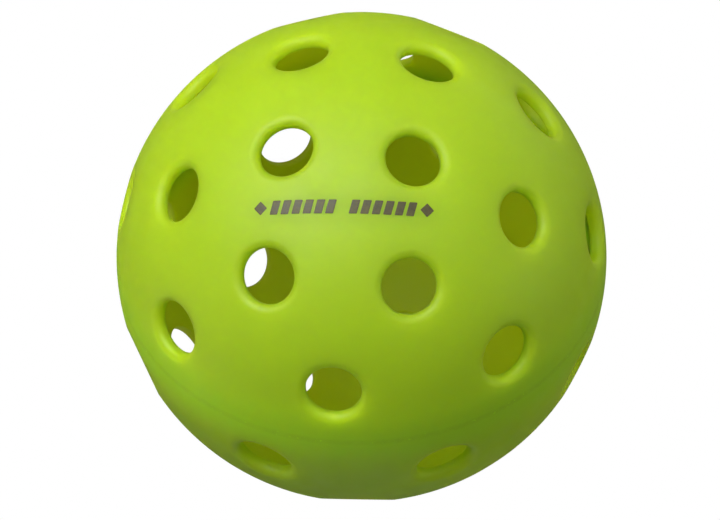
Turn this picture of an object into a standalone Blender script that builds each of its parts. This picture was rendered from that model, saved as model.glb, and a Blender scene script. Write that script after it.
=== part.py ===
"""Pickleball ball: two moulded half shells with forty round holes, lapped and welded round
the equator, with a bead of weld inside and an ink mark printed near the upper pole.

Metres, +Z up. The origin is the ball's centre, and +Z runs through the upper pole,
square to the seam. The first hole of the upper half's equator row lies on +X.
"""

import math

import bmesh
import bpy
from mathutils import Euler, Vector

# The ball
OUTER_RADIUS = 0.0370
WALL = 0.0021
INNER_RADIUS = OUTER_RADIUS - WALL

# The holes: one row is (colatitude in degrees, number of holes, azimuth of the first in degrees)
HOLE_ROWS = (
    (22.0, 4, 45.0),
    (50.1, 8, 22.5),
    (75.5, 8, 0.0),
)
LOWER_HALF_TWIST = 26.9
HOLE_RADIUS = 0.0042
RIM_WIDTH = 0.0015
RIM_DEPTH = 0.0012
RIM_OVERRUN = 0.0010

# The seam: the upper half's skirt laps over the lower half's tongue
FIT_GAP = 0.0003
SKIRT_WALL = 0.0009
SKIRT_HEIGHT = 0.0011

# The bead that the weld squeezes out along the inside of the seam
BEAD_HEIGHT = 0.0016
BEAD_THICKNESS = 0.0007

# The printed mark: slanted bars in two groups, with a diamond at each end
MARK_COLATITUDE = 30.1
MARK_AZIMUTH = -90.0
MARK_TURN = 3.6
MARK_LIFT = 0.00012
INK_THICKNESS = 0.00012
BAR_HEIGHT = 0.0021
BAR_WIDTH = 0.0012
BAR_PITCH = 0.0017
BAR_SLANT = 0.25
BARS_PER_GROUP = 6
GROUP_CENTRE = 0.0060
DIAMOND_SIZE = 0.0021
DIAMOND_CENTRE = 0.0126

# Facets
SHELL_STEPS = 48
ARC_STEPS = 12
HOLE_STEPS = 16
RIM_STEPS = 3
BEAD_STEPS = 8
MERGE_DISTANCE = 0.00001

# Materials: name, colour, roughness
PLASTIC = ("lime_polyethylene", (0.40, 0.72, 0.04, 1.0), 0.48)
WELD = ("weld_polyethylene", (0.36, 0.65, 0.036, 1.0), 0.55)
INK = ("olive_ink", (0.07, 0.062, 0.014, 1.0), 0.60)


def clear_scene():
    for item in list(bpy.data.objects):
        bpy.data.objects.remove(item, do_unlink=True)


def new_collection(name):
    collection = bpy.data.collections.new(name)
    bpy.context.scene.collection.children.link(collection)
    return collection


def add_object(name, mesh, collection):
    item = bpy.data.objects.new(name, mesh)
    collection.objects.link(item)
    return item


def plain_material(name, colour, roughness):
    material = bpy.data.materials.new(name)
    material.use_nodes = True
    shader = material.node_tree.nodes["Principled BSDF"]
    shader.inputs["Base Color"].default_value = colour
    shader.inputs["Roughness"].default_value = roughness
    shader.inputs["Metallic"].default_value = 0.0
    return material


def profile_mesh(name, points, closed=False):
    """A line of (x, z) points in the XZ plane, ready to be turned about Z."""
    mesh = bpy.data.meshes.new(name)
    edges = [(i, i + 1) for i in range(len(points) - 1)]
    if closed:
        edges.append((len(points) - 1, 0))
    mesh.from_pydata([(x, 0.0, z) for x, z in points], edges, [])
    return mesh


def turn(item, steps):
    screw = item.modifiers.new("turn", "SCREW")
    screw.axis = "Z"
    screw.angle = 2.0 * math.pi
    screw.steps = steps
    screw.render_steps = steps
    screw.use_merge_vertices = True
    screw.merge_threshold = MERGE_DISTANCE
    screw.use_smooth_shade = True


def arc(radius, start, end, steps):
    """Points on a circle about the origin. Angles are measured from +Z towards +X."""
    angles = [start + (end - start) * i / steps for i in range(steps + 1)]
    return [(radius * math.sin(a), radius * math.cos(a)) for a in angles]


def angle_at_height(radius, height):
    return math.acos(height / radius)


def upper_profile():
    shoulder = angle_at_height(INNER_RADIUS, SKIRT_HEIGHT)
    points = arc(OUTER_RADIUS, 0.0, math.pi / 2, ARC_STEPS)
    points.append((OUTER_RADIUS - SKIRT_WALL, 0.0))
    points.append((OUTER_RADIUS - SKIRT_WALL, SKIRT_HEIGHT))
    return points + arc(INNER_RADIUS, shoulder, 0.0, ARC_STEPS)


def lower_profile():
    tongue_top = SKIRT_HEIGHT - FIT_GAP
    tongue_face = OUTER_RADIUS - SKIRT_WALL - FIT_GAP
    inner_end = angle_at_height(INNER_RADIUS, tongue_top)
    outer_start = angle_at_height(OUTER_RADIUS, -FIT_GAP)
    points = arc(INNER_RADIUS, math.pi, inner_end, ARC_STEPS)
    points.append((tongue_face, tongue_top))
    points.append((tongue_face, -FIT_GAP))
    return points + arc(OUTER_RADIUS, outer_start, math.pi, ARC_STEPS)


def on_sphere(radius, away):
    """Height along a hole's axis of the point of a sphere that lies this far from the axis."""
    return math.sqrt(radius * radius - away * away)


def hole_profile():
    """The space of one hole about its own axis: a straight throat and a rounded outer rim."""
    rim = []
    for i in range(RIM_STEPS + 1):
        turned = i / RIM_STEPS * math.pi / 2
        away = HOLE_RADIUS + RIM_WIDTH * (1.0 - math.cos(turned))
        depth = RIM_DEPTH * (1.0 - math.sin(turned))
        rim.append((away, on_sphere(OUTER_RADIUS - depth, away)))
    (last_x, last_z), (rim_x, rim_z) = rim[-2:]
    slope = (rim_z - last_z) / (rim_x - last_x)
    overrun = (rim_x + RIM_OVERRUN, rim_z + slope * RIM_OVERRUN)
    above = OUTER_RADIUS + RIM_OVERRUN
    below = INNER_RADIUS - WALL
    top = [(0.0, above), (overrun[0], above), overrun]
    return top + rim[::-1] + [(HOLE_RADIUS, below), (0.0, below)]


def hole_rotations():
    """One rotation for each hole, from +Z to the hole's own axis."""
    rotations = []
    for colatitude, count, first in HOLE_ROWS:
        for i in range(count):
            azimuth = first + 360.0 * i / count
            upper = (0.0, math.radians(colatitude), math.radians(azimuth))
            lower_azimuth = azimuth + LOWER_HALF_TWIST
            lower = (0.0, math.radians(180.0 - colatitude), math.radians(lower_azimuth))
            rotations += [Euler(upper), Euler(lower)]
    return rotations


def make_hole_cutters(collection):
    mesh = profile_mesh("hole_profile", hole_profile())
    for number, rotation in enumerate(hole_rotations(), start=1):
        cutter = add_object(f"hole_cutter_{number:02d}", mesh, collection)
        cutter.rotation_euler = rotation
        cutter.hide_render = True
        cutter.display_type = "WIRE"
        turn(cutter, HOLE_STEPS)


def make_half_shell(name, points, material, collection, cutters):
    shell = add_object(name, profile_mesh(name, points), collection)
    shell.data.materials.append(material)
    turn(shell, SHELL_STEPS)
    cut = shell.modifiers.new("holes", "BOOLEAN")
    cut.operation = "DIFFERENCE"
    cut.solver = "EXACT"
    cut.operand_type = "COLLECTION"
    cut.collection = cutters


def make_weld_bead(material, collection):
    """An oval ring along the inside of the seam, where the tongue meets the shoulder."""
    centre_height = SKIRT_HEIGHT - FIT_GAP / 2
    centre_radius = INNER_RADIUS - FIT_GAP - BEAD_THICKNESS / 2
    points = []
    for i in range(BEAD_STEPS):
        turned = 2.0 * math.pi * i / BEAD_STEPS
        x = centre_radius + BEAD_THICKNESS / 2 * math.sin(turned)
        z = centre_height + BEAD_HEIGHT / 2 * math.cos(turned)
        points.append((x, z))
    bead = add_object("weld_bead", profile_mesh("weld_bead", points, closed=True), collection)
    bead.data.materials.append(material)
    turn(bead, SHELL_STEPS)


def mark_axes():
    """The mark's centre, its reading direction and its up direction, as unit vectors."""
    place = Euler((0.0, math.radians(MARK_COLATITUDE), math.radians(MARK_AZIMUTH))).to_matrix()
    turned = place @ Euler((0.0, 0.0, math.radians(MARK_TURN))).to_matrix()
    centre = turned @ Vector((0.0, 0.0, 1.0))
    along = turned @ Vector((0.0, 1.0, 0.0))
    return centre, along, centre.cross(along)


def wrap_on_ball(flat, axes):
    """Lay a flat point (along, up, height) on the ball, so that the mark follows a great circle."""
    centre, along, up = axes
    across_angle = flat.x / OUTER_RADIUS
    up_angle = flat.y / OUTER_RADIUS
    level = centre * math.cos(across_angle) + along * math.sin(across_angle)
    direction = level * math.cos(up_angle) + up * math.sin(up_angle)
    return direction * (OUTER_RADIUS + MARK_LIFT + flat.z)


def bar_vertices(bm):
    """A slanted bar about the origin, lying flat with its underside at height zero."""
    bar = bmesh.ops.create_cube(bm, size=1.0)["verts"]
    for vertex in bar:
        height = vertex.co.y * BAR_HEIGHT
        across = vertex.co.x * BAR_WIDTH + height * BAR_SLANT
        vertex.co = Vector((across, height, (vertex.co.z + 0.5) * INK_THICKNESS))
    return bar


def diamond_vertices(bm):
    """A flat diamond about the origin, with its underside at height zero."""
    half = DIAMOND_SIZE / 2
    diamond = bmesh.ops.create_cone(
        bm, cap_ends=True, segments=4, radius1=half, radius2=half, depth=INK_THICKNESS
    )["verts"]
    for vertex in diamond:
        vertex.co.z += INK_THICKNESS / 2
    return diamond


def add_ink_patch(name, outline, x, material, collection):
    """One closed patch of ink, its centre at a distance x along the mark, wrapped on the ball."""
    bm = bmesh.new()
    axes = mark_axes()
    for vertex in outline(bm):
        vertex.co.x += x
        vertex.co = wrap_on_ball(vertex.co, axes)
    mesh = bpy.data.meshes.new(name)
    bm.to_mesh(mesh)
    bm.free()
    patch = add_object(name, mesh, collection)
    patch.data.materials.append(material)


def make_printed_mark(material, collection):
    for side, sign in (("left", -1.0), ("right", 1.0)):
        end = f"ink_diamond_{side}"
        add_ink_patch(end, diamond_vertices, sign * DIAMOND_CENTRE, material, collection)
        for i in range(BARS_PER_GROUP):
            offset = (i - (BARS_PER_GROUP - 1) / 2) * BAR_PITCH
            name = f"ink_bar_{side}_{i + 1}"
            add_ink_patch(name, bar_vertices, sign * GROUP_CENTRE + offset, material, collection)


def main():
    clear_scene()
    ball = new_collection("pickleball_ball")
    cutters = new_collection("cutters")
    plastic = plain_material(*PLASTIC)
    make_hole_cutters(cutters)
    make_half_shell("upper_half_shell", upper_profile(), plastic, ball, cutters)
    make_half_shell("lower_half_shell", lower_profile(), plastic, ball, cutters)
    make_weld_bead(plain_material(*WELD), ball)
    make_printed_mark(plain_material(*INK), ball)


main()
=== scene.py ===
"""Looks of the pickleball ball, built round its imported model.

Everything is in metres, in the model's frame: the origin is the ball's centre, +Z runs
through the upper half's pole, and the printed mark faces -Y. Each half shell is meshed
exactly: the sphere between the holes is a Delaunay net laid out in a stereographic plane,
where circles stay circles, and each hole is a collar of rings from its rounded rim, down its
throat, to the inner wall.
"""
import math

import bmesh
import bpy
from mathutils import Euler, Matrix, Vector, noise
from mathutils.geometry import delaunay_2d_cdt


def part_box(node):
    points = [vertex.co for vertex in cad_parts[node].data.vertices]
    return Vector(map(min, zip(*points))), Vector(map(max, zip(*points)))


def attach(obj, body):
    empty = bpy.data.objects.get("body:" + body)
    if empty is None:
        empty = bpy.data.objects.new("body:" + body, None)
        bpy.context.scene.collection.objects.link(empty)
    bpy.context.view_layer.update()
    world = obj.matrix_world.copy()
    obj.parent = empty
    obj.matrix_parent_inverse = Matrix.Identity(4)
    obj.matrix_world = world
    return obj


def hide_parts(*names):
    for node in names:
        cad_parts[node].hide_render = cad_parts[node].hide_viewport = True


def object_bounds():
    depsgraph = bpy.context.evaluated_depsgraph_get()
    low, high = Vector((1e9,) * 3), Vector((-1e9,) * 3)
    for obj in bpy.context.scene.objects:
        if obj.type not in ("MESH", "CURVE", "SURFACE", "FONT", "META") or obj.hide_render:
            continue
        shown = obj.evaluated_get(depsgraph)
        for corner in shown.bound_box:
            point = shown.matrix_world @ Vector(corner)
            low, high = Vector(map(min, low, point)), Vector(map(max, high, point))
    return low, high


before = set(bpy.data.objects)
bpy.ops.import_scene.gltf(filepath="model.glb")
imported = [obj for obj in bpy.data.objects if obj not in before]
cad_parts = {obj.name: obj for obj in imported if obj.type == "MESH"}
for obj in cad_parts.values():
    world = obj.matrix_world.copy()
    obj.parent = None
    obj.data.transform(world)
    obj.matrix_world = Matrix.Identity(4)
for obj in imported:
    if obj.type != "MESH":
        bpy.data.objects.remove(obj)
CAD_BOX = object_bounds()

# Sizes that the model gives
OUTER_RADIUS = (CAD_BOX[1].x - CAD_BOX[0].x) / 2
BEAD_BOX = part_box("weld_bead")
BEAD_CENTRE_HEIGHT = (BEAD_BOX[0].z + BEAD_BOX[1].z) / 2
BEAD_HEIGHT = BEAD_BOX[1].z - BEAD_BOX[0].z

# The model's own design figures, and how closely the halves fit once they are welded
WALL = 0.0021
INNER_RADIUS = OUTER_RADIUS - WALL
INNER_FILLET = 0.00035
SKIRT_WALL = 0.0009
SKIRT_HEIGHT = 0.0011
WELD_FIT = 0.00004

# The holes: one row is (colatitude in degrees, number of holes, azimuth of the first in degrees)
HOLE_ROWS = ((22.0, 4, 45.0), (50.1, 8, 22.5), (75.5, 8, 0.0))
LOWER_HALF_TWIST = 26.9
HOLE_RADIUS = 0.0042
RIM_WIDTH = 0.0015
RIM_DEPTH = 0.0012

# Where the two halves meet on the outside: a faint witness line
WITNESS_DEPTH = 0.000012
WITNESS_HALF_WIDTH = 0.00010
WITNESS_STEPS = 4

# Mesh fineness
NET_SUBDIVISIONS = 6
HOLE_POINTS = 64
SEAM_POINTS = 300
RIM_RINGS = 8
THROAT_RINGS = 3
FILLET_RINGS = 4
CLEARANCE_OF_NET = 0.00075
NET_TILT = (0.31, 0.17, 0.05)
NET_TOLERANCE = 1e-9
SHARP_ANGLE = 38.0


def add_piece(name, vertices, faces, material):
    mesh = bpy.data.meshes.new(name)
    mesh.from_pydata([tuple(v) for v in vertices], [], faces)
    mesh.validate()
    mesh.shade_smooth()
    mesh.set_sharp_from_angle(angle=math.radians(SHARP_ANGLE))
    piece = bpy.data.objects.new(name, mesh)
    bpy.context.scene.collection.objects.link(piece)
    mesh.materials.append(material)
    return piece


# --- the half shells ---------------------------------------------------------------------


def hole_frames(is_lower):
    """A rotation for each hole of one half, from +Z to the hole's axis, the half's pole on +Z."""
    frames = []
    for colatitude, count, first in HOLE_ROWS:
        for i in range(count):
            azimuth = first + 360.0 * i / count
            if is_lower:
                azimuth = -(azimuth + LOWER_HALF_TWIST)
            turn = (0.0, math.radians(colatitude), math.radians(azimuth))
            frames.append(Euler(turn).to_matrix())
    return frames


def collar_section():
    """(distance from the hole's axis, depth below the outside) from the rim to the inner wall."""
    section = []
    for i in range(RIM_RINGS + 1):
        turned = math.pi / 2 * (1.0 - i / RIM_RINGS)
        away = HOLE_RADIUS + RIM_WIDTH * (1.0 - math.cos(turned))
        section.append((away, RIM_DEPTH * (1.0 - math.sin(turned))))
    throat_end = WALL - INNER_FILLET
    for i in range(1, THROAT_RINGS + 1):
        depth = RIM_DEPTH + (throat_end - RIM_DEPTH) * i / THROAT_RINGS
        section.append((HOLE_RADIUS, depth))
    for i in range(1, FILLET_RINGS + 1):
        turned = math.pi / 2 * i / FILLET_RINGS
        away = HOLE_RADIUS + INNER_FILLET * (1.0 - math.cos(turned))
        section.append((away, throat_end + INNER_FILLET * math.sin(turned)))
    return section


def collar_ring(frame_of_hole, away, depth):
    radius = OUTER_RADIUS - depth
    height = math.sqrt(radius * radius - away * away)
    ring = []
    for k in range(HOLE_POINTS):
        turn = 2.0 * math.pi * k / HOLE_POINTS
        ring.append(frame_of_hole @ Vector((away * math.cos(turn), away * math.sin(turn), height)))
    return ring


def level_ring(radius, height):
    ring = []
    for k in range(SEAM_POINTS):
        turn = 2.0 * math.pi * k / SEAM_POINTS
        ring.append(Vector((radius * math.cos(turn), radius * math.sin(turn), height)))
    return ring


def even_directions():
    """Directions spread evenly over the whole sphere."""
    bm = bmesh.new()
    bmesh.ops.create_icosphere(bm, subdivisions=NET_SUBDIVISIONS, radius=1.0)
    tilt = Euler(NET_TILT).to_matrix()
    directions = [tilt @ v.co.normalized() for v in bm.verts]
    bm.free()
    return directions


def to_plane(point):
    direction = point.normalized()
    return Vector((direction.x, direction.y)) / (1.0 + direction.z)


def sphere_net(radius, edge_ring, hole_rings, frames):
    """Cover the sphere between an edge ring and the holes' rings. Returns (points, triangles).

    The rings' points come first among the points, in the order they were given.
    """
    points = list(edge_ring)
    loops = [list(range(len(edge_ring)))]
    hole_of = {}
    for hole, ring in enumerate(hole_rings):
        loop = list(range(len(points), len(points) + len(ring)))
        loops.append(loop)
        points += ring
        hole_of.update(dict.fromkeys(loop, hole))
    axes = [f @ Vector((0.0, 0.0, 1.0)) for f in frames]
    hole_angle = hole_rings[0][0].angle(axes[0])
    keep_off = CLEARANCE_OF_NET / radius
    lowest = math.sin(math.asin(edge_ring[0].z / radius) + keep_off)
    for direction in EVEN_DIRECTIONS:
        if direction.z < lowest:
            continue
        if min(direction.angle(axis) for axis in axes) > hole_angle + keep_off:
            points.append(direction * radius)
    edges = [(loop[i - 1], loop[i]) for loop in loops for i in range(len(loop))]
    net = delaunay_2d_cdt([to_plane(p) for p in points], edges, [], 0, NET_TOLERANCE)
    triangles, origins = net[2], net[3]
    if len(origins) != len(points):
        raise ValueError("the net's rings cross each other")
    number = {new: old[0] for new, old in enumerate(origins)}
    kept = []
    for triangle in triangles:
        corners = [number[i] for i in triangle]
        first, second, third = (hole_of.get(i) for i in corners)
        lies_in_hole = first is not None and first == second == third
        if not lies_in_hole:
            kept.append(corners)
    return points, kept


def seam_section(is_lower):
    """(radius, height) from the outer sphere's edge to the inner sphere's, the pole on +Z."""
    witness = []
    for i in range(WITNESS_STEPS + 1):
        turned = math.pi / 2 * i / WITNESS_STEPS
        height = WITNESS_HALF_WIDTH * (1.0 - math.sin(turned))
        sphere = math.sqrt(OUTER_RADIUS ** 2 - height ** 2)
        witness.append((sphere - WITNESS_DEPTH * (1.0 - math.cos(turned)), height))
    if is_lower:
        face = OUTER_RADIUS - SKIRT_WALL - WELD_FIT
        top = -(SKIRT_HEIGHT - WELD_FIT)
        inner = math.sqrt(INNER_RADIUS ** 2 - top ** 2)
        return witness + [(face, 0.0), (face, top), (inner, top)]
    face = OUTER_RADIUS - SKIRT_WALL
    inner = math.sqrt(INNER_RADIUS ** 2 - SKIRT_HEIGHT ** 2)
    return witness + [(face, 0.0), (face, SKIRT_HEIGHT), (inner, SKIRT_HEIGHT)]


def make_half_shell(name, node, is_lower, material):
    frames = hole_frames(is_lower)
    section = collar_section()
    collars = [[collar_ring(f, *step) for step in section] for f in frames]
    seam = [level_ring(*step) for step in seam_section(is_lower)]

    vertices = []
    faces = []

    def add_net(radius, edge_ring, hole_rings, flip):
        points, triangles = sphere_net(radius, edge_ring, hole_rings, frames)
        base = len(vertices)
        vertices.extend(points)
        for triangle in triangles:
            corners = [base + i for i in triangle]
            faces.append(corners[::-1] if flip else corners)
        edge = list(range(base, base + len(edge_ring)))
        starts = [base + len(edge_ring) + n * HOLE_POINTS for n in range(len(frames))]
        holes = [list(range(start, start + HOLE_POINTS)) for start in starts]
        return edge, holes

    def add_ring(points):
        base = len(vertices)
        vertices.extend(points)
        return list(range(base, base + len(points)))

    def bridge(first, second, flip):
        for k in range(len(first)):
            corners = [first[k - 1], first[k], second[k], second[k - 1]]
            faces.append(corners[::-1] if flip else corners)

    outer_edge, outer_holes = add_net(OUTER_RADIUS, seam[0], [c[0] for c in collars], False)
    inner_edge, inner_holes = add_net(INNER_RADIUS, seam[-1], [c[-1] for c in collars], True)
    for n, collar in enumerate(collars):
        rings = [outer_holes[n]] + [add_ring(r) for r in collar[1:-1]] + [inner_holes[n]]
        for first, second in zip(rings, rings[1:]):
            bridge(first, second, False)
    rings = [outer_edge] + [add_ring(r) for r in seam[1:-1]] + [inner_edge]
    for first, second in zip(rings, rings[1:]):
        bridge(first, second, True)

    if is_lower:
        turn_over = Matrix.Rotation(math.pi, 3, "X")
        vertices = [turn_over @ v for v in vertices]
    shell = add_piece(name, vertices, faces, material)
    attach(shell, "root")
    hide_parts(node)


# --- the bead of weld inside the seam ----------------------------------------------------

BEAD_POINTS = 360
BEAD_SECTION_POINTS = 14
BEAD_STAND = 0.00055
BEAD_SINK = 0.00012
BEAD_RIPPLE = 0.28
BEAD_RIPPLE_SCALE = 190.0
BEAD_HEIGHT_RIPPLE = 0.25


def make_weld_bead(material):
    """A half-round bead that rises and falls a little as it runs round the inner wall."""
    vertices = []
    faces = []
    for k in range(BEAD_POINTS):
        turn = 2.0 * math.pi * k / BEAD_POINTS
        out = Vector((math.cos(turn), math.sin(turn), 0.0))
        swell = 1.0 + BEAD_RIPPLE * noise.noise(out * INNER_RADIUS * BEAD_RIPPLE_SCALE)
        half_height = BEAD_HEIGHT / 2 * (1.0 + BEAD_HEIGHT_RIPPLE * (swell - 1.0))
        for j in range(BEAD_SECTION_POINTS):
            angle = 2.0 * math.pi * j / BEAD_SECTION_POINTS
            reach = BEAD_STAND * swell if math.cos(angle) > 0.0 else BEAD_SINK
            inward = reach * math.cos(angle)
            height = BEAD_CENTRE_HEIGHT + half_height * math.sin(angle)
            wall = math.sqrt(INNER_RADIUS ** 2 - height ** 2)
            vertices.append(out * (wall - inward) + Vector((0.0, 0.0, height)))
    count = BEAD_SECTION_POINTS
    for k in range(BEAD_POINTS):
        here = k * count
        after = (k + 1) % BEAD_POINTS * count
        for j in range(count):
            following = (j + 1) % count
            faces.append([here + j, here + following, after + following, after + j])
    bead = add_piece("weld_bead_ring", vertices, faces, material)
    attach(bead, "root")
    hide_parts("weld_bead")


# --- the printed mark --------------------------------------------------------------------

MARK_COLATITUDE = 30.1
MARK_AZIMUTH = -90.0
MARK_TURN = 3.6
INK_THICKNESS = 0.00002
INK_SINK = 0.00001
BAR_HEIGHT = 0.0021
BAR_WIDTH = 0.0012
BAR_PITCH = 0.0017
BAR_SLANT = 0.25
BARS_PER_GROUP = 6
GROUP_CENTRE = 0.0060
DIAMOND_SIZE = 0.0021
DIAMOND_CENTRE = 0.0126
CORNER_RADIUS = 0.00012
CORNER_POINTS = 5
EDGE_POINTS = 8

# Rings of an ink patch from its edge inwards: (share of the outline, share of the thickness)
INK_RINGS = ((1.0, 0.0), (0.985, 0.7), (0.95, 1.0), (0.7, 1.0), (0.4, 1.0))


def rounded_outline(corners):
    """A convex outline, anticlockwise, with its corners rounded and its edges divided."""
    outline = []
    count = len(corners)
    for i in range(count):
        before, here, after = corners[i - 1], corners[i], corners[(i + 1) % count]
        back = (before - here).normalized()
        ahead = (after - here).normalized()
        half_angle = back.angle(ahead) / 2
        cut = CORNER_RADIUS / math.tan(half_angle)
        start = here + back * cut
        end = here + ahead * cut
        for k in range(CORNER_POINTS):
            t = k / (CORNER_POINTS - 1)
            outline.append(start * (1 - t) ** 2 + here * 2 * t * (1 - t) + end * t ** 2)
        last = after - ahead * CORNER_RADIUS / math.tan(half_angle)
        for k in range(1, EDGE_POINTS):
            outline.append(end.lerp(last, k / EDGE_POINTS))
    return outline


def bar_corners():
    corners = []
    for x, y in ((-0.5, -0.5), (0.5, -0.5), (0.5, 0.5), (-0.5, 0.5)):
        height = y * BAR_HEIGHT
        corners.append(Vector((x * BAR_WIDTH + height * BAR_SLANT, height)))
    return corners


def diamond_corners():
    half = DIAMOND_SIZE / 2
    return [Vector((half, 0.0)), Vector((0.0, half)), Vector((-half, 0.0)), Vector((0.0, -half))]


def mark_axes():
    place = Euler((0.0, math.radians(MARK_COLATITUDE), math.radians(MARK_AZIMUTH))).to_matrix()
    turned = place @ Euler((0.0, 0.0, math.radians(MARK_TURN))).to_matrix()
    centre = turned @ Vector((0.0, 0.0, 1.0))
    along = turned @ Vector((0.0, 1.0, 0.0))
    return centre, along, centre.cross(along)


def wrap_on_ball(flat, height, axes):
    centre, along, up = axes
    level = centre * math.cos(flat.x / OUTER_RADIUS) + along * math.sin(flat.x / OUTER_RADIUS)
    up_angle = flat.y / OUTER_RADIUS
    direction = level * math.cos(up_angle) + up * math.sin(up_angle)
    return direction * (OUTER_RADIUS + height)


def make_ink_patch(node, corners, x, material):
    outline = rounded_outline(corners)
    axes = mark_axes()
    shift = Vector((x, 0.0))
    count = len(outline)
    vertices = []
    faces = []
    for scale, rise in INK_RINGS:
        for point in outline:
            vertices.append(wrap_on_ball(point * scale + shift, INK_THICKNESS * rise, axes))
    for ring in range(len(INK_RINGS) - 1):
        for k in range(count):
            a = ring * count + k
            b = ring * count + (k + 1) % count
            faces.append([a, b, b + count, a + count])
    inner = (len(INK_RINGS) - 1) * count
    vertices.append(wrap_on_ball(shift, INK_THICKNESS, axes))
    top = len(vertices) - 1
    faces += [[inner + k, inner + (k + 1) % count, top] for k in range(count)]
    base = len(vertices)
    vertices += [wrap_on_ball(point + shift, -INK_SINK, axes) for point in outline]
    vertices.append(wrap_on_ball(shift, -INK_SINK, axes))
    bottom = len(vertices) - 1
    for k in range(count):
        after = (k + 1) % count
        faces.append([k, base + k, base + after, after])
        faces.append([base + after, base + k, bottom])
    patch = add_piece(f"{node}_film", vertices, faces, material)
    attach(patch, "root")
    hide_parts(node)


def make_printed_mark(material):
    for side, sign in (("left", -1.0), ("right", 1.0)):
        make_ink_patch(f"ink_diamond_{side}", diamond_corners(), sign * DIAMOND_CENTRE, material)
        for i in range(BARS_PER_GROUP):
            x = sign * GROUP_CENTRE + (i - (BARS_PER_GROUP - 1) / 2) * BAR_PITCH
            make_ink_patch(f"ink_bar_{side}_{i + 1}", bar_corners(), x, material)


# --- materials ---------------------------------------------------------------------------

LIME = (0.40, 0.72, 0.010)
BEAD_SHADE = 0.9

# How far light travels inside the plastic. It fades out towards the seam, because Cycles loses
# the light that would pass from one half to the other.
SCATTER = 0.024
SCATTER_AT_SEAM = 0.0002
SEAM_DENSE = 0.0005
SEAM_CLEAR = 0.0080

# The tone of the seam, by height off it
SEAM_TONE_FULL = 0.00025
SEAM_TONE_END = 0.00080
SEAM_DARKENING = 0.09
SEAM_LEAST_DARKENING = SEAM_DARKENING / 3
SPECK_BRIGHTENING = 0.25

# The plastic's colour varies by this much in soft clouds, its gloss by patches
CLOUD_TONE = 0.035
ROUGHNESS = (0.46, 0.58)
PLASTIC_IOR = 1.5
GLOSS_LEVEL = 0.3
SCATTER_BY_COLOUR = (1.0, 0.85, 0.05)

# The skin's relief: swells a few millimetres across, and fine grain
WAVE_HEIGHT = 0.00002
GRAIN_HEIGHT = 0.000008

# Ink where it lies thick, where it lies thin, and its roughness
THICK_INK = (0.036, 0.031, 0.006)
THIN_INK = (0.085, 0.076, 0.016)
INK_ROUGHNESS = (0.42, 0.62)

# Noise scales, in cycles per metre
CLOUD_SCALE = 55.0
PATCH_SCALE = 260.0
WAVE_SCALE = 420.0
SEAM_BLOTCH_SCALE = 700.0
INK_SCALE = 900.0
SPECK_SCALE = 1900.0
GRAIN_SCALE = 3200.0


def new_material(name):
    material = bpy.data.materials.new(name)
    material.use_nodes = True
    tree = material.node_tree
    return material, tree, tree.nodes["Principled BSDF"]


def noise_texture(tree, scale, detail, roughness=0.5):
    coordinates = tree.nodes.new("ShaderNodeTexCoord")
    texture = tree.nodes.new("ShaderNodeTexNoise")
    texture.inputs["Scale"].default_value = scale
    texture.inputs["Detail"].default_value = detail
    texture.inputs["Roughness"].default_value = roughness
    tree.links.new(coordinates.outputs["Object"], texture.inputs["Vector"])
    return texture.outputs["Fac"]


def ramp(tree, factor, stops):
    node = tree.nodes.new("ShaderNodeValToRGB")
    tree.links.new(factor, node.inputs["Fac"])
    elements = node.color_ramp.elements
    while len(elements) < len(stops):
        elements.new(0.5)
    for element, (position, colour) in zip(elements, stops):
        element.position = position
        element.color = (*colour, 1.0)
    return node.outputs["Color"]


def map_range(tree, value, from_min, from_max, to_min, to_max):
    node = tree.nodes.new("ShaderNodeMapRange")
    ends = {"From Min": from_min, "From Max": from_max, "To Min": to_min, "To Max": to_max}
    for name, number in ends.items():
        node.inputs[name].default_value = number
    tree.links.new(value, node.inputs["Value"])
    return node.outputs["Result"]


def maths(tree, operation, *values):
    node = tree.nodes.new("ShaderNodeMath")
    node.operation = operation
    for socket, value in zip(node.inputs, values):
        if isinstance(value, float):
            socket.default_value = value
        else:
            tree.links.new(value, socket)
    return node.outputs["Value"]


def height_off_seam(tree):
    coordinates = tree.nodes.new("ShaderNodeTexCoord")
    split = tree.nodes.new("ShaderNodeSeparateXYZ")
    tree.links.new(coordinates.outputs["Object"], split.inputs["Vector"])
    return maths(tree, "ABSOLUTE", split.outputs["Z"])


def seam_tone(tree, colour, height):
    """The colour, a little darker on the seam, with bright specks of flash."""
    fade = map_range(tree, height, SEAM_TONE_FULL, SEAM_TONE_END, 1.0, 0.0)
    # The seam is drawn 3 to 9 percent darker in blotches, fully up to 0.25 mm off it and fading
    # out by 0.8 mm.
    patchy = noise_texture(tree, SEAM_BLOTCH_SCALE, 3.0)
    blotchy_darkening = map_range(tree, patchy, 0.35, 0.65, SEAM_LEAST_DARKENING, SEAM_DARKENING)
    spotty = noise_texture(tree, SPECK_SCALE, 1.0)
    specks = map_range(tree, spotty, 0.68, 0.74, 0.0, SPECK_BRIGHTENING)
    change = maths(tree, "SUBTRACT", specks, blotchy_darkening)
    factor = maths(tree, "MULTIPLY_ADD", change, fade, 1.0)
    scale = tree.nodes.new("ShaderNodeVectorMath")
    scale.operation = "SCALE"
    tree.links.new(colour, scale.inputs["Vector"])
    tree.links.new(factor, scale.inputs["Scale"])
    return scale.outputs["Vector"]


def bump(tree, height, distance, strength, below=None):
    node = tree.nodes.new("ShaderNodeBump")
    node.inputs["Distance"].default_value = distance
    node.inputs["Strength"].default_value = strength
    tree.links.new(height, node.inputs["Height"])
    if below is not None:
        tree.links.new(below, node.inputs["Normal"])
    return node.outputs["Normal"]


def shade(colour, factor):
    return tuple(channel * factor for channel in colour)


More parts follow.
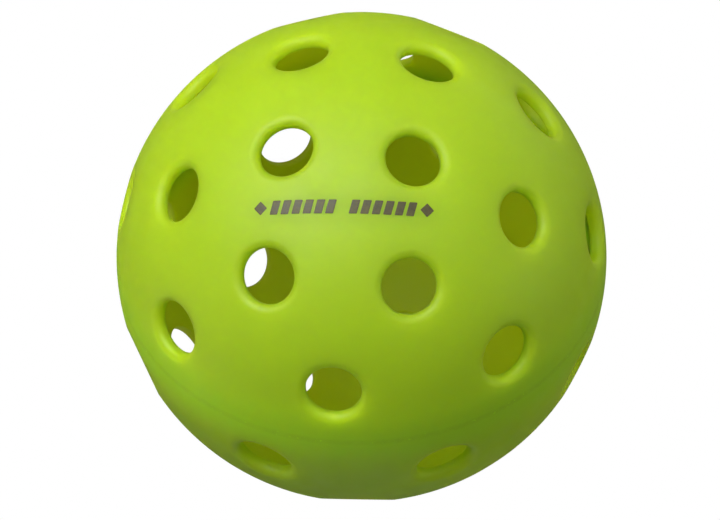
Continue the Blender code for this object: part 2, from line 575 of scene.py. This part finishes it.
def lime_polyethylene(name, tint):
    material, tree, shader = new_material(name)
    cloudy = noise_texture(tree, CLOUD_SCALE, 3.0)
    tones = ((0.3, shade(tint, 1.0 - CLOUD_TONE)), (0.7, shade(tint, 1.0 + CLOUD_TONE)))
    colour = ramp(tree, cloudy, tones)
    height = height_off_seam(tree)
    tree.links.new(seam_tone(tree, colour, height), shader.inputs["Base Color"])
    patches = noise_texture(tree, PATCH_SCALE, 4.0)
    tree.links.new(map_range(tree, patches, 0.3, 0.7, *ROUGHNESS), shader.inputs["Roughness"])
    waviness = bump(tree, noise_texture(tree, WAVE_SCALE, 2.0), WAVE_HEIGHT, 0.5)
    grain = bump(tree, noise_texture(tree, GRAIN_SCALE, 3.0), GRAIN_HEIGHT, 0.4, waviness)
    tree.links.new(grain, shader.inputs["Normal"])
    shader.inputs["IOR"].default_value = PLASTIC_IOR
    shader.inputs["Specular IOR Level"].default_value = GLOSS_LEVEL
    shader.inputs["Subsurface Weight"].default_value = 1.0
    depth_of_light = map_range(tree, height, SEAM_DENSE, SEAM_CLEAR, SCATTER_AT_SEAM, SCATTER)
    tree.links.new(depth_of_light, shader.inputs["Subsurface Scale"])
    shader.inputs["Subsurface Radius"].default_value = SCATTER_BY_COLOUR
    return material


def olive_ink():
    material, tree, shader = new_material("olive_ink_print")
    thin = noise_texture(tree, INK_SCALE, 4.0, 0.65)
    colour = ramp(tree, thin, ((0.35, THICK_INK), (0.72, THIN_INK)))
    tree.links.new(colour, shader.inputs["Base Color"])
    tree.links.new(map_range(tree, thin, 0.3, 0.7, *INK_ROUGHNESS), shader.inputs["Roughness"])
    return material


# --- floor, light and camera -------------------------------------------------------------

FLOOR_SIZE = 3.0
BLACK = (0.0, 0.0, 0.0, 1.0)
WHITE = (1.0, 1.0, 1.0, 1.0)

# Where the camera stands from the ball, in degrees and metres, and how far it aims off the centre
CAMERA_AZIMUTH = 7.916
CAMERA_ELEVATION = 48.369
CAMERA_ROLL = 1.727
CAMERA_DISTANCE = 42.48 * OUTER_RADIUS
CAMERA_LENS = 520.4
CAMERA_SENSOR = 36.0
CAMERA_CLIP = (0.1, 20.0)
AIM_RIGHT = -0.000228
AIM_UP = -0.000459


def make_floor():
    """A floor as white as the backdrop, which neither lights the ball nor shades it."""
    mesh = bpy.data.meshes.new("floor")
    half = FLOOR_SIZE / 2
    height = -OUTER_RADIUS
    signs = ((-1, -1), (1, -1), (1, 1), (-1, 1))
    corners = [(x * half, y * half, height) for x, y in signs]
    mesh.from_pydata(corners, [], [(0, 1, 2, 3)])
    floor = bpy.data.objects.new("floor", mesh)
    bpy.context.scene.collection.objects.link(floor)
    material, _, shader = new_material("pale_floor")
    shader.inputs["Base Color"].default_value = BLACK
    shader.inputs["Specular IOR Level"].default_value = 0.0
    shader.inputs["Emission Color"].default_value = WHITE
    shader.inputs["Emission Strength"].default_value = 1.0
    mesh.materials.append(material)
    floor.visible_diffuse = False
    floor.visible_glossy = False
    floor.visible_shadow = False


def direction_to(azimuth, elevation):
    """Unit vector from the ball. Azimuth 0 is towards -Y and 90 towards +X, in degrees."""
    a, e = math.radians(azimuth), math.radians(elevation)
    return Vector((math.sin(a) * math.cos(e), -math.cos(a) * math.cos(e), math.sin(e)))


LAMP_DISTANCE = 0.8
LAMP_SIZE = 0.6

# Soft round lamps of white light: name, azimuth, elevation, watts
LIGHTS = (
    ("key", -60.0, 61.0, 6.35),
    ("top", 0.0, 90.0, 1.8),
    ("left", -90.0, 50.0, 0.6),
    ("right_top", 60.0, 60.0, 1.2),
    ("right", 90.0, 5.0, 0.85),
    ("back_right", 140.0, 10.0, 0.6),
    ("left_low", -70.0, -25.0, 0.5),
    ("below", 0.0, -70.0, 0.3),
)
AMBIENT_STRENGTH = 0.12


def make_world():
    """Faint light from all round, behind a white backdrop that only the camera sees."""
    world = bpy.data.worlds.new("studio")
    world.use_nodes = True
    tree = world.node_tree
    ambient = tree.nodes["Background"]
    ambient.inputs["Color"].default_value = WHITE
    ambient.inputs["Strength"].default_value = AMBIENT_STRENGTH
    backdrop = tree.nodes.new("ShaderNodeBackground")
    backdrop.inputs["Color"].default_value = WHITE
    seen_by = tree.nodes.new("ShaderNodeLightPath")
    mix = tree.nodes.new("ShaderNodeMixShader")
    tree.links.new(seen_by.outputs["Is Camera Ray"], mix.inputs["Fac"])
    tree.links.new(ambient.outputs["Background"], mix.inputs[1])
    tree.links.new(backdrop.outputs["Background"], mix.inputs[2])
    tree.links.new(mix.outputs["Shader"], tree.nodes["World Output"].inputs["Surface"])
    bpy.context.scene.world = world


def make_lights():
    for name, azimuth, elevation, power in LIGHTS:
        data = bpy.data.lights.new(name, "AREA")
        data.shape = "DISK"
        data.size = LAMP_SIZE
        data.energy = power
        lamp = bpy.data.objects.new(name, data)
        back = direction_to(azimuth, elevation)
        lamp.location = back * LAMP_DISTANCE
        lamp.rotation_mode = "QUATERNION"
        lamp.rotation_quaternion = (-back).to_track_quat("-Z", "Y")
        bpy.context.scene.collection.objects.link(lamp)


def make_camera():
    data = bpy.data.cameras.new("camera")
    data.lens = CAMERA_LENS
    data.sensor_width = CAMERA_SENSOR
    data.clip_start, data.clip_end = CAMERA_CLIP
    camera = bpy.data.objects.new("camera", data)
    back = direction_to(CAMERA_AZIMUTH, CAMERA_ELEVATION)
    level = (-back).to_track_quat("-Z", "Y").to_matrix()
    turned = level @ Matrix.Rotation(math.radians(-CAMERA_ROLL), 3, "Z")
    aim = turned @ Vector((AIM_RIGHT, AIM_UP, 0.0))
    camera.matrix_world = Matrix.Translation(back * CAMERA_DISTANCE + aim) @ turned.to_4x4()
    bpy.context.scene.collection.objects.link(camera)
    bpy.context.scene.camera = camera


bpy.context.scene.view_settings.view_transform = "Standard"
EVEN_DIRECTIONS = even_directions()
make_camera()
make_lights()
make_world()
make_floor()
LIME_PLASTIC = lime_polyethylene("lime_polyethylene_moulded", LIME)
make_half_shell("upper_half_shell_moulding", "upper_half_shell", False, LIME_PLASTIC)
make_half_shell("lower_half_shell_moulding", "lower_half_shell", True, LIME_PLASTIC)
make_weld_bead(lime_polyethylene("weld_polyethylene_bead", shade(LIME, BEAD_SHADE)))
make_printed_mark(olive_ink())
